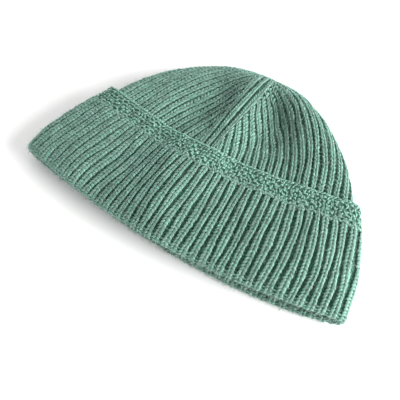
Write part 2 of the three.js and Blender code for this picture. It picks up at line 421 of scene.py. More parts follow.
    def curl(self, row: Array) -> Array:
        """How far the cuff's free edge turns out at a row."""
        sizes = self.sizes
        start = sizes.cuff_height - sizes.curl_rows
        return sizes.edge_curl * np.clip((row - start) / sizes.curl_rows, 0, 1) ** 2

    def cuff_point(self, row: Array, around: Array, height: Array) -> Array:
        """Point on the cuff, which goes on round the rim fold and into the hat.

        Args:
            row: distances up the cuff, negative round the fold and inside.
            around: places around.
            height: heights over the knit's face.

        Returns:
            Points in millimetres.
        """
        row, around, height = np.broadcast_arrays(row, around, height)
        radius, middle = self.sizes.fold_radius, self.sizes.fold_middle
        turn = np.clip(-row / radius, 0, np.pi)
        along = np.maximum(row, 0) + np.maximum(-row - np.pi * radius, 0)
        out = middle + (radius + height) * np.cos(turn) + self.curl(row)
        foot, back = (
            self.free_point(np.full_like(row, near), around, np.full_like(row, middle))
            for near in (0.0, 2.0)
        )
        forward = (foot - back) / np.linalg.norm(foot - back, axis=-1, keepdims=True)
        fold = forward * ((radius + height) * np.sin(turn))[..., None]
        return self.rest(self.free_point(along, around, out) + fold)


class Bench:
    """Workbench helpers around Blender's operators."""

    @staticmethod
    def clear() -> None:
        """Deselects every object."""
        bpy.ops.object.select_all(action="DESELECT")

    @staticmethod
    def pick(piece: Piece) -> None:
        """Makes one object selected and active."""
        Bench.clear()
        piece.select_set(True)
        bpy.context.view_layer.objects.active = piece

    @staticmethod
    def select(piece: Piece, wanted: Callable[[Vector], bool]) -> None:
        """Selects the vertices of a piece in edit mode that pass a test of their place.

        Args:
            piece: the object in edit mode.
            wanted: the test.
        """
        bpy.ops.mesh.select_mode(type="VERT")
        bpy.ops.mesh.select_all(action="DESELECT")
        bpy.ops.object.mode_set(mode="OBJECT")
        for vertex in piece.data.vertices:
            vertex.select = wanted(vertex.co)
        bpy.ops.object.mode_set(mode="EDIT")

    @staticmethod
    def on_axis(place: Vector) -> bool:
        """Whether a vertex lies on the piece's axis."""
        return math.hypot(place.x, place.y) < 0.01

    @staticmethod
    def face_out() -> None:
        """Turns all faces of the active piece outwards and leaves its edit mode."""
        bpy.ops.mesh.select_all(action="SELECT")
        bpy.ops.mesh.normals_make_consistent(inside=False)
        bpy.ops.object.mode_set(mode="OBJECT")

    @staticmethod
    def store(mesh: bpy.types.Mesh, values: dict[str, Array]) -> None:
        """Stores named values on a mesh, one number a vertex."""
        for label, numbers in values.items():
            layer = mesh.attributes.new(label, "FLOAT", "POINT")
            layer.data.foreach_set("value", numbers.astype(np.float32))

    @staticmethod
    def finish(piece: Piece, slot: Slot, material: Material) -> None:
        """Dresses a finished piece and ties it to the frame.

        Args:
            piece: the finished object.
            slot: the record's slot; not used.
            material: its wool.
        """
        piece.data.materials.clear()
        piece.data.materials.append(material)
        Bench.pick(piece)
        bpy.ops.object.shade_smooth()
        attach(piece, "root")
        log.info("%s: %d faces", piece.name, len(piece.data.polygons))


def feed(tree: Tree, node: bpy.types.Node, sources: dict) -> bpy.types.Node:
    """Links or sets the inputs of a shader node.

    Args:
        tree: the tree that the node is in.
        node: the node.
        sources: for each input, a socket to link or a value to set.

    Returns:
        The same node.
    """
    for label, value in sources.items():
        if isinstance(value, Socket):
            tree.links.new(value, node.inputs[label])
        else:
            node.inputs[label].default_value = value
    return node


@dataclass(frozen=True)
class WoolFinish:
    """Soft, matt, heathered wool: light fibres on the crests, and painted shade that gives the grooves a
    deep colour.
    """

    name: str
    crest: tuple[float, float, float]
    # colour of the painted shade deep in the grooves
    groove: tuple[float, float, float]
    fleck: tuple[float, float, float]
    roughness: float = 0.95
    shine: float = 0.15
    sheen: float = 0.22
    sheen_roughness: float = 0.55
    sheen_tint: tuple[float, float, float] = (0.58, 1.0, 0.84)
    glow: float = 0.85
    glow_reach: float = 0.0022
    glow_tint: tuple[float, float, float] = (0.6, 1.0, 0.85)
    relief: float = 0.6
    relief_height: float = 0.35 * MM

    def material(self) -> Material:
        """Builds the node material.

        Returns:
            The material, which reads Object coordinates, the yarn's UV map and two attributes: painted
            shade in the grooves, and each stitch's tone with painted light and shade.
        """
        material = bpy.data.materials.new(self.name)
        material.use_nodes = True
        tree, nodes = material.node_tree, material.node_tree.nodes
        place = nodes.new("ShaderNodeTexCoord").outputs
        sunk_shade, tone_and_shading = (nodes.new("ShaderNodeAttribute") for _ in range(2))
        sunk_shade.attribute_name = "sunk_shade"
        tone_and_shading.attribute_name = "tone_and_shading"
        wool, yarn = (nodes.new("ShaderNodeGroup") for _ in range(2))
        wool.node_tree = heathered_wool()
        yarn.node_tree = yarn_relief()
        feed(tree, wool, {
            "Place": place["Object"],
            "Sunk Shade": sunk_shade.outputs["Fac"],
            "Tone And Shading": tone_and_shading.outputs["Fac"],
            "Crest": (*self.crest, 1.0),
            "Groove Shade": (*self.groove, 1.0),
            "Fleck": (*self.fleck, 1.0),
        })
        feed(tree, yarn, {"Place": place["Object"], "Yarn": place["UV"]})
        bump = feed(tree, nodes.new("ShaderNodeBump"), {
            "Strength": self.relief,
            "Distance": self.relief_height,
            "Height": yarn.outputs["Height"],
        })
        feed(tree, nodes["Principled BSDF"], {
            "Base Color": wool.outputs["Color"],
            "Normal": bump.outputs["Normal"],
            "Roughness": self.roughness,
            "Specular IOR Level": self.shine,
            "Subsurface Weight": self.glow,
            "Subsurface Scale": self.glow_reach,
            "Subsurface Radius": self.glow_tint,
            "Sheen Weight": self.sheen,
            "Sheen Roughness": self.sheen_roughness,
            "Sheen Tint": (*self.sheen_tint, 1.0),
        })
        return material


def new_group(name: str, inputs: dict[str, str], output: tuple[str, str]) -> Tree:
    """Starts a shader node group with named sockets.

    Args:
        name: the group's name.
        inputs: names and types of the sockets that go in.
        output: name and type of the socket that comes out.

    Returns:
        The group, with its input and output nodes in it.
    """
    group = bpy.data.node_groups.new(name, "ShaderNodeTree")
    for label, kind in inputs.items():
        group.interface.new_socket(name=label, in_out="INPUT", socket_type=kind)
    group.interface.new_socket(name=output[0], in_out="OUTPUT", socket_type=output[1])
    group.nodes.new("NodeGroupInput").name = "In"
    group.nodes.new("NodeGroupOutput").name = "Out"
    return group


def noise(group: Tree, scale: float, detail: float) -> Socket:
    """Noise over the group's Place socket, with its features per metre and its finer octaves."""
    sources = {"Scale": scale, "Detail": detail, "Vector": group.nodes["In"].outputs["Place"]}
    return feed(group, group.nodes.new("ShaderNodeTexNoise"), sources).outputs["Fac"]


def ranged(
    group: Tree, source: Socket, span: tuple[float, float], to: tuple[float, float]
) -> Socket:
    """Maps a value from one range to another with soft ends.

    Args:
        group: the node group.
        source: the value.
        span: range that it is read over.
        to: range that it comes out in.

    Returns:
        The mapped value's socket.
    """
    node = group.nodes.new("ShaderNodeMapRange")
    node.interpolation_type = "SMOOTHSTEP"
    labels = ("Value", "From Min", "From Max", "To Min", "To Max")
    return feed(group, node, dict(zip(labels, (source, *span, *to)))).outputs["Result"]


def blended(
    group: Tree, factor: Socket | float, first: Socket, second: Socket, kind: str = "MIX"
) -> Socket:
    """Blends two colours.

    Args:
        group: the node group.
        factor: share of the second colour.
        first: the first colour.
        second: the second colour.
        kind: blend type.

    Returns:
        The blended colour's socket.
    """
    node = group.nodes.new("ShaderNodeMix")
    node.data_type = "RGBA"
    node.blend_type = kind
    return feed(group, node, {0: factor, 6: first, 7: second}).outputs[2]


def heathered_wool() -> Tree:
    """Colour of heathered wool with painted light and shade, built once.

    Returns:
        The group, from three colours, the painted groove shade and each stitch's tone with painted light
        and shade to one colour.
    """
    if "heathered_wool" in bpy.data.node_groups:
        return bpy.data.node_groups["heathered_wool"]
    colours = dict.fromkeys(("Crest", "Groove Shade", "Fleck"), "NodeSocketColor")
    inputs = {"Place": "NodeSocketVector", "Sunk Shade": "NodeSocketFloat", "Tone And Shading": "NodeSocketFloat"}
    group = new_group("heathered_wool", inputs | colours, ("Color", "NodeSocketColor"))
    source = group.nodes["In"].outputs
    # painted shade: the groove colour takes over where the knit lies deep
    depth = ranged(group, source["Sunk Shade"], (0.12, 0.95), (0.0, 1.0))
    wool = blended(group, depth, source["Crest"], source["Groove Shade"])
    light = ranged(group, noise(group, 1500, 3), (0.52, 0.74), (0.0, 0.5))
    wool = blended(group, light, wool, source["Fleck"])
    dark = ranged(group, noise(group, 1050, 2), (0.3, 0.5), (0.65, 1.0))
    patches = ranged(group, noise(group, 70, 2), (0.3, 0.7), (0.9, 1.1))
    # each stitch's random tone, with painted light and shade added
    stitch_tone_and_shading = ranged(group, source["Tone And Shading"], (-3.5, 3.5), (0.58, 1.42))
    for factor in (dark, patches, stitch_tone_and_shading):
        shade = group.nodes.new("ShaderNodeCombineColor")
        feed(group, shade, dict.fromkeys(("Red", "Green", "Blue"), factor))
        wool = blended(group, 1.0, wool, shade.outputs["Color"], "MULTIPLY")
    feed(group, group.nodes["Out"], {"Color": wool})
    return group


def yarn_relief() -> Tree:
    """Fine relief of yarn, built once: twisted plies and stray fibres.

    Returns:
        The group, from place and yarn coordinates to a height.
    """
    if "yarn_relief" in bpy.data.node_groups:
        return bpy.data.node_groups["yarn_relief"]
    inputs = {"Place": "NodeSocketVector", "Yarn": "NodeSocketVector"}
    group = new_group("yarn_relief", inputs, ("Height", "NodeSocketFloat"))
    plies = group.nodes.new("ShaderNodeTexWave")
    plies.bands_direction = "DIAGONAL"
    yarn = group.nodes["In"].outputs["Yarn"]
    feed(group, plies, {"Scale": 0.62, "Distortion": 0.6, "Vector": yarn})
    total = group.nodes.new("ShaderNodeMath")
    total.operation = "MULTIPLY_ADD"
    feed(group, total, {0: plies.outputs["Fac"], 1: 0.35, 2: noise(group, 1700, 4)})
    feed(group, group.nodes["Out"], {"Height": total.outputs["Value"]})
    return group


class Grain:
    """One small piece of yarn or fibre, modelled once and copied for every stitch."""

    def __init__(self, piece: Piece) -> None:
        """Keeps a modelled piece's vertices, faces and yarn coordinates, and takes it off the bench.

        Args:
            piece: the modelled piece, along Z from -1 to 1.
        """
        mesh = piece.data
        self.points = np.array([v.co[:] for v in mesh.vertices])
        self.corners = np.array([loop.vertex_index for loop in mesh.loops])
        self.starts = np.array([face.loop_start for face in mesh.polygons])
        self.uv = np.zeros((len(self.corners), 2))
        angle = np.arctan2(self.points[:, 1], self.points[:, 0]) / (2 * np.pi)
        for face in mesh.polygons:
            turn = math.atan2(face.center.y, face.center.x) / (2 * np.pi)
            for loop in face.loop_indices:
                v = self.corners[loop]
                own = turn if Bench.on_axis(mesh.vertices[v].co) else angle[v]
                self.uv[loop] = (own - round(own - turn), self.points[v, 2])
        bpy.data.objects.remove(piece)

    @classmethod
    def yarn(cls, sides: int, rings: tuple[float, ...]) -> "Grain":
        """Models a grain of yarn from a cylinder: rings between its ends, drawn in to two tips.

        Args:
            sides: number of faces around the yarn.
            rings: heights of the rings between its ends.

        Returns:
            The grain.
        """
        Bench.clear()
        bpy.ops.mesh.primitive_cylinder_add(vertices=sides, radius=1, depth=1.5, end_fill_type="TRIFAN")
        piece = bpy.context.object
        bpy.ops.object.mode_set(mode="EDIT")
        for height in rings:
            bpy.ops.mesh.select_all(action="SELECT")
            bpy.ops.mesh.bisect(plane_co=(0, 0, height), plane_no=(0, 0, 1))
        for end in (-1, 1):
            Bench.select(piece, lambda place, end=end: 0.7 <= place.z * end <= 0.8)
            bpy.ops.transform.resize(value=(0.66, 0.66, 1))
            Bench.select(piece, lambda place, end=end: Bench.on_axis(place) and place.z * end > 0)
            bpy.ops.transform.translate(value=(0, 0, end * 0.25))
        Bench.face_out()
        return cls(piece)

    @classmethod
    def fibre(cls) -> "Grain":
        """Models a stray fibre from a cone whose base is drawn out to a second tip.

        Returns:
            The fibre, a slim spindle of six faces.
        """
        Bench.clear()
        bpy.ops.mesh.primitive_cone_add(vertices=3, radius1=1, radius2=0, depth=1, end_fill_type="TRIFAN")
        piece = bpy.context.object
        bpy.ops.object.mode_set(mode="EDIT")
        bpy.ops.mesh.select_all(action="SELECT")
        bpy.ops.transform.translate(value=(0, 0, 0.5))
        Bench.select(piece, lambda place: Bench.on_axis(place) and abs(place.z) < 0.01)
        bpy.ops.transform.translate(value=(0, 0, -1))
        Bench.face_out()
        return cls(piece)

    def copies(self, name: str, points: Array, values: dict[str, Array]) -> Piece:
        """Joins copies of the grain's faces over placed points.

        Args:
            name: the piece's name.
            points: every copy's vertices in millimetres.
            values: attributes, one number a vertex.

        Returns:
            The mesh object.
        """
        number = np.arange(len(points) // len(self.points))[:, None]
        corners = (self.corners + number * len(self.points)).reshape(-1)
        starts = (self.starts + number * len(self.corners)).reshape(-1)
        mesh = bpy.data.meshes.new(name)
        mesh.vertices.add(len(points))
        mesh.vertices.foreach_set("co", (points * MM).astype(np.float32).reshape(-1))
        mesh.loops.add(len(corners))
        mesh.loops.foreach_set("vertex_index", corners.astype(np.int32))
        mesh.polygons.add(len(starts))
        mesh.polygons.foreach_set("loop_start", starts.astype(np.int32))
        mesh.update(calc_edges=True)
        Bench.store(mesh, values)
        uv = np.tile(self.uv, (len(number), 1)).astype(np.float32)
        mesh.uv_layers.new(name="yarn").data.foreach_set("uv", uv.reshape(-1))
        piece = bpy.data.objects.new(name, mesh)
        bpy.context.scene.collection.objects.link(piece)
        Bench.pick(piece)
        bpy.ops.object.mode_set(mode="EDIT")
        Bench.face_out()
        return piece


class Lay(NamedTuple):
    """How a grain lies: vectors of around, along and out, in millimetres."""

    offset: tuple[float, float, float]  # from its place to its middle
    reach: tuple[float, float, float]  # from its middle to its end
    bow: tuple[float, float, float]  # how its middle is bent out
    wide: tuple[float, float, float]
    high: tuple[float, float, float]


@dataclass
class Strands:
    """A growing list of grains to be laid over one face of the knit."""

    around: list[Array] = field(default_factory=list)
    row: list[Array] = field(default_factory=list)
    shape: list[Array] = field(default_factory=list)

    def add(
        self, around: Array, row: Array, lay: Lay, scale: Array, mirror: float = 1.0,
        raise_by: Array | float = 0.0, tilt: Array | float = 0.0,
    ) -> None:
        """Adds one grain for every place given.

        Args:
            around: places around.
            row: distances over the knit.
            lay: how the grain lies.
            scale: size of each grain across the column.
            mirror: -1 turns the grain's shape over in the around direction.
            raise_by: extra height of each grain.
            tilt: turn of each grain's length towards along, in radians.
        """
        shape = np.repeat(np.array(lay, float)[None], len(around), axis=0)
        shape[:, :, 0] *= scale[:, None] * mirror
        shape[:, 3, 0] *= mirror
        shape[:, 0, 2] += raise_by
        cosine, sine = np.cos(tilt), np.sin(tilt)
        reach = shape[:, 1].copy()
        shape[:, 1, 0] = reach[:, 0] * cosine - reach[:, 1] * sine
        shape[:, 1, 1] = reach[:, 0] * sine + reach[:, 1] * cosine
        self.around.append(around)
        self.row.append(row)
        self.shape.append(shape)


@dataclass(frozen=True)
class StitchSizes:
    """Sizes of the rib's stitches in millimetres, at one rib pitch."""

    pitch: float = 5.8
    left_leg: Lay = Lay((1.0, 0, -1.1), (0.55, 1.8, 0), (0, 0, 0.36), (0.86, 0, 0), (0, 0, 0.74))
    right_leg: Lay = Lay((1.0, 0, -1.1), (0.36, 2.1, 0), (0, 0, 0.24), (1.04, 0, 0), (0, 0, 0.84))
    purl: Lay = Lay((0, 0, -2.5), (1.25, 0, -0.1), (0, 0.35, 0.2), (0, 0.55, 0), (0, 0, 0.4))
    crest_bed: float = -1.2  # depth of the shell behind the columns
    groove_bed: float = -2.7  # depth of the shell behind the purl bars
    closing: float = 0.2  # how much wider the columns are where the ribs close up
    rise: float = 0.8  # how much higher the grooves lie there
    jitter: float = 0.1  # small differences between stitches


@dataclass(frozen=True)
class FuzzSizes:
    """Sizes of the stray fibres in millimetres: half lengths, bends, and where they are rooted."""

    length: tuple[float, float] = (0.6, 2.0)
    least_rise: float = 0.1
    more_rise: float = 1.9
    bend: float = 0.35
    arch: float = 0.3
    scatter: float = 0.8
    depth: float = 0.5
    half_width: float = 0.065


@dataclass
class Grains:
    """The modelled pieces of yarn that all stitches are copies of."""

    leg: Grain
    purl: Grain
    fibre: Grain


class RibKnit:
    """Shared making of the shell, knit columns, purl grooves and fuzz of the crown and the cuff."""

    slot: Slot
    on_cuff: bool
    fibres: int
    sunk_depth = 2.2  # depth under the knit's face where the painted groove shade is at its darkest
    # strength of the painted light and shade on the shell
    shell_painted_shading = 1.7

    def __init__(self, form: KnitForm, grains: Grains, stitches: StitchSizes, seed: int) -> None:
        """Keeps the form, the grains and the sizes.

        Args:
            form: the hat's form.
            grains: the modelled grains.
            stitches: sizes of the stitches.
            seed: seed of the small differences between stitches.
        """
        self.form = form
        self.grains = grains
        self.stitches = stitches
        self.tones = np.random.default_rng(seed)
        self.random = np.random.default_rng(seed + 100)

    def wrap(
        self, name: str, rows: Array, place: Callable[[Array, Array, Array], Array],
        relief: Callable[[Array, Array], Array],
    ) -> Piece:
        """Makes a closed shell of knit from a grid wrapped around the hat.

        Args:
            name: the piece's name.
            rows: path values, one for every row of the shell.
            place: gives points in millimetres for path values, places around and groove values.
            relief: gives the painted groove shade for path values and groove values.

        Returns:
            The shell, with its seam and poles merged.
        """
        sizes = self.form.sizes
        across = 4 * sizes.ribs_around
        Bench.clear()
        bpy.ops.mesh.primitive_grid_add(x_subdivisions=across, y_subdivisions=len(rows) - 1, size=1)
        piece = bpy.context.object
        piece.name = piece.data.name = name
        flat = np.zeros(len(piece.data.vertices) * 3, np.float32)
        piece.data.vertices.foreach_get("co", flat)
        u, v, _ = flat.reshape(-1, 3).T + 0.5
        around = np.round(u * across) / across
        path = rows[np.round(v * (len(rows) - 1)).astype(int)]
        groove = 0.5 - 0.5 * np.cos(2 * np.pi * (around - sizes.first_line) * sizes.ribs_around)
        points = place(path, around, groove) * MM
        piece.data.vertices.foreach_set("co", points.astype(np.float32).reshape(-1))
        # painted light and shade from the table of spots
        tone_and_shading = self.shell_painted_shading * self.form.spread(PAINTED_LIGHT_AND_SHADE, path, around)
        Bench.store(piece.data, {"sunk_shade": relief(path, groove), "tone_and_shading": tone_and_shading})
        bpy.ops.object.mode_set(mode="EDIT")
        bpy.ops.mesh.select_all(action="SELECT")
        bpy.ops.mesh.remove_doubles(threshold=0.00002)
        Bench.face_out()
        return piece

    def lay(self, name: str, strands: Strands, grain: Grain, side: Side | None) -> Piece:
        """Makes the joined mesh of all grains, or of those on one side of the hat.

        Args:
            name: the piece's name.
            strands: where the grains are laid.
            grain: the modelled grain.
            side: the half of the hat to keep, or None for all of it.

        Returns:
            The mesh object, with attributes of painted groove shade and of tone with painted light and
            shade, and yarn coordinates.
        """
        lists = (strands.around, strands.row, strands.shape)
        around, row, shape = (np.concatenate(one) for one in lists)
        if side:
            start, end = side.value
            keep = (around % 1.0 >= start) & (around % 1.0 < end)
            around, row, shape = around[keep], row[keep], shape[keep]
        x, y, t = (grain.points[:, k][None, :, None] for k in range(3))
        offset, reach, bow, wide, high = (shape[:, k][:, None, :] for k in range(5))
        knit = offset + reach * t + bow * (1 - t**2) + wide * x + high * y
        place = row[:, None] + knit[..., 1]
        turn = around[:, None] + knit[..., 0] / self.form.girth(np.abs(place))
        put = self.form.cuff_point if self.on_cuff else self.form.crown_point
        points = put(place, turn, knit[..., 2]).reshape(-1, 3)
        # painted shade, deeper under the knit's face; painted light and shade from the spots are added to
        # each stitch's random tone
        sunk_shade = np.clip(-knit[..., 2] / self.sunk_depth, 0, 1)
        painted_shading = self.form.spread(PAINTED_LIGHT_AND_SHADE, row, around % 1.0)[:, None] * (0.7 + sunk_shade)
        tone_and_shading = np.clip(self.tones.normal(0, 0.5, len(around)), -1, 1)[:, None] + painted_shading
        return grain.copies(name, points, {"sunk_shade": sunk_shade.reshape(-1), "tone_and_shading": tone_and_shading.reshape(-1)})

    def dress(
        self, wool: Material, pieces: tuple[tuple[str, Strands, Grain, Side | None], ...]
    ) -> None:
        """Lays and finishes pieces of grains.

        Args:
            wool: their wool.
            pieces: name, strands, grain and side of each.
        """
        for piece in pieces:
            Bench.finish(self.lay(*piece), self.slot, wool)

    def columns(
        self, strands: Strands, around: Array, row: Array, pitch: Array, towards: float,
        lift: float, widen: float = 1.0,
    ) -> None:
        """Adds the two legs of a knit stitch at every place.

        Args:
            strands: list that the legs go to.
            around: places around of the stitches.
            row: their distances over the knit.
            pitch: rib pitch at each.
            towards: 1 where the V opens towards the tip, -1 where it opens towards the rim.
            lift: extra height.
            widen: extra width.
        """
        s = self.stitches
        scale = pitch / s.pitch * widen * (1.0 + s.closing * self.form.slack(around))
        for mirror, leg in ((-1.0, s.left_leg), (1.0, s.right_leg)):
            jitter = self.random.normal(0, s.jitter, (4, len(around)))
            lay = leg._replace(reach=(leg.reach[0], leg.reach[1] * towards, leg.reach[2]))
            width, height = scale * (1 + 0.5 * jitter[1]), lift + jitter[2] * 0.9
            strands.add(around, row + jitter[0], lay, width, mirror, height, jitter[3] * 0.7)

    def purls(
        self, strands: Strands, around: Array, row: Array, pitch: Array, lift: Array | float = 0.0
    ) -> None:
        """Adds the low purl bar at every place in a groove.

        Args:
            strands: list that the bars go to.
            around: places around of the stitches.
            row: their distances over the knit.
            pitch: rib pitch at each.
            lift: extra height.
        """
        s = self.stitches
        jitter = self.random.normal(0, s.jitter, (3, len(around)))
        width = pitch / s.pitch * (1 + jitter[1])
        height = lift + jitter[2] + s.rise * self.form.slack(around)
        strands.add(around, row + jitter[0], s.purl, width, 1.0, height, jitter[1])

    def fuzz(self, roots: Strands) -> Strands:
        """Lays stray fibres that stand out of the knit columns.

        Args:
            roots: the knit columns' legs.

        Returns:
            The fibres, each with its lower tip inside a leg.
        """
        sizes, count = FuzzSizes(), self.fibres
        around, row = np.concatenate(roots.around), np.concatenate(roots.row)
        chosen = self.random.integers(0, len(around), count)
        turn = self.random.uniform(0, 2 * np.pi, count)
        length = self.random.uniform(*sizes.length, count)
        rise = sizes.least_rise + sizes.more_rise * self.random.uniform(0, 1, count) ** 2
        bend = self.random.normal(0, sizes.bend, count)
        aside, ahead, none = np.cos(turn), np.sin(turn), np.zeros(count)
        scatter = self.random.normal(0, sizes.scatter, (2, count))
        root = np.stack([*scatter, none - sizes.depth], axis=-1)
        reach = np.stack([aside * length, ahead * length, rise], axis=-1)
        bow = np.stack([-ahead * bend, aside * bend, none + sizes.arch], axis=-1)
        wide = np.stack([-ahead, aside, none], axis=-1) * sizes.half_width
        high = np.stack([none, none, none + sizes.half_width], axis=-1)
        shape = np.stack([root + reach, reach, bow, wide, high], axis=1)
        return Strands([around[chosen]], [row[chosen]], [shape])


class Crown(RibKnit):
    """The body of the hat: three wedges of rib that narrow to the tip."""

    slot = Slot.CROWN
    on_cuff = False
    fibres = 15000
    first_row = 70.0
    bare_to = 60.0  # the shell is plain up to this row, under the cuff
    bare_fade = 8.0
    bare_inset = 0.4
    inner_ripple = 0.5
    line_room = 1.2  # ribs that other stitches keep clear of a decrease line
    dip_room = 1.7
    line_lift = 0.45
    beside_lift = 0.2
    # grains of the closed tip: how many, rows past the tip, height, half length and half width
    rosette = ((7, -0.5, -0.55, 1.9, 0.75), (3, 1.2, -0.25, 1.7, 0.8))

    def shell(self) -> Piece:
        """Models the wall behind the stitches.

        Returns:
            The closed shell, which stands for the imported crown.
        """
        sizes, s = self.form.sizes, self.stitches
        tip, seam = sizes.tip, sizes.seam_gap
        inner_rows = ([tip], np.linspace(tip - 1, 174, 4), np.linspace(168, 6, 28), [seam])
        outer_rows = ([seam], np.linspace(6, 66, 11), np.linspace(70, 177, 42), [179, tip])
        rows = np.concatenate([-np.concatenate(inner_rows), *outer_rows])

        def place(path: Array, around: Array, groove: Array) -> Array:
            """Inner face for negative path values, outer face for positive ones."""
            bed = s.groove_bed + s.rise * self.form.slack(around)
            depth = s.crest_bed + (bed - s.crest_bed) * groove * (path > self.bare_to)
            covered = np.clip((path - self.bare_to) / self.bare_fade, 0, 1)
            outer = sizes.crown_outside + depth * covered - self.bare_inset * (1 - covered)
            inner = sizes.crown_inside + self.inner_ripple * groove
            out = np.where(path < 0, inner, outer)
            points = self.form.free_point(np.abs(path), around, out, CROWN_PULL)
            for pole in (path == -tip, path == tip):
                points[pole] = points[pole].mean(axis=0)
            return self.form.rest(points)

        def relief(path: Array, groove: Array) -> Array:
            """Painted shade: deep in the grooves, moderate on the inner face."""
            return np.where(path < 0, 0.35, 0.7) + 0.3 * groove

        return self.wrap("crown_knit", rows, place, relief)

    def stitch_rows(self) -> tuple[Strands, Strands]:
        """Lays every stitch of the crown, wedge by wedge.

        Returns:
            The knit columns and the purl bars.
        """
        sizes, form = self.form.sizes, self.form
        knits, purls = Strands(), Strands()
        for row in np.arange(self.first_row, sizes.tip - 2, sizes.row):
            share = min(1.0, float(form.section("ribs", row)) / sizes.ribs_around)
            pitch = float(form.girth(row)) / (sizes.ribs_around * share)
            line = sizes.first_line
            for ribs in sizes.wedge_ribs:
                width = ribs / sizes.ribs_around
                half = max(ribs * share, 1.0) / 2
                crests = np.arange(1, ribs) - ribs / 2
                grooves = np.arange(0, ribs) + 0.5 - ribs / 2
                inner = crests[np.abs(crests) < half - self.line_room]
                hollows = grooves[np.abs(grooves) < half - self.dip_room]
                beside = (1 - half, half - 1) if half > self.line_room else ()
                dips = (0.5 - half, half - 0.5, 1.5 - half, half - 1.5)
                dips = dips if half > self.dip_room else ()
                for group, lift in (
                    ((-half,), self.line_lift), (beside, self.beside_lift), (inner, 0.0),
                    ((*hollows, *dips), None),
                ):
                    around = line + width * (0.5 + np.asarray(group) / (2 * half))
                    rows, pitches = (np.full(len(around), value) for value in (row, pitch))
                    if lift is not None:
                        self.columns(knits, around, rows, pitches, 1.0, lift)
                    elif len(around):
                        self.purls(purls, around, rows + sizes.row / 2, pitches)
                line += width
        self.gather(knits)
        return knits, purls

    def gather(self, strands: Strands) -> None:
        """Adds the last stitches, drawn in to the tip by the yarn's end.

        Args:
            strands: list that they go to.
        """
        for count, past, height, reach, half in self.rosette:
            around = (np.arange(count) + self.random.uniform(-0.15, 0.15, count)) / count
            lay = Lay((0, 0, height), (0.3, reach, 0), (0, 0, 0.35), (half, 0, 0), (0, 0, 0.75))
            row = np.full(count, self.form.sizes.tip + past)
            strands.add(around, row, lay, np.ones(count))

    def build(self, wool: Material) -> None:
        """Builds and dresses every piece of the crown.

        Args:
            wool: the crown's wool.
        """
        shell = self.shell()
        Bench.finish(shell, self.slot, wool)
        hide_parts("crown")
        knits, purls = self.stitch_rows()
        self.dress(wool, (
            ("crown_columns_front", knits, self.grains.leg, Side.FRONT),
            ("crown_columns_back", knits, self.grains.leg, Side.BACK),
            ("crown_purls", purls, self.grains.purl, None),
            ("crown_fuzz", self.fuzz(knits), self.grains.fibre, None),
        ))


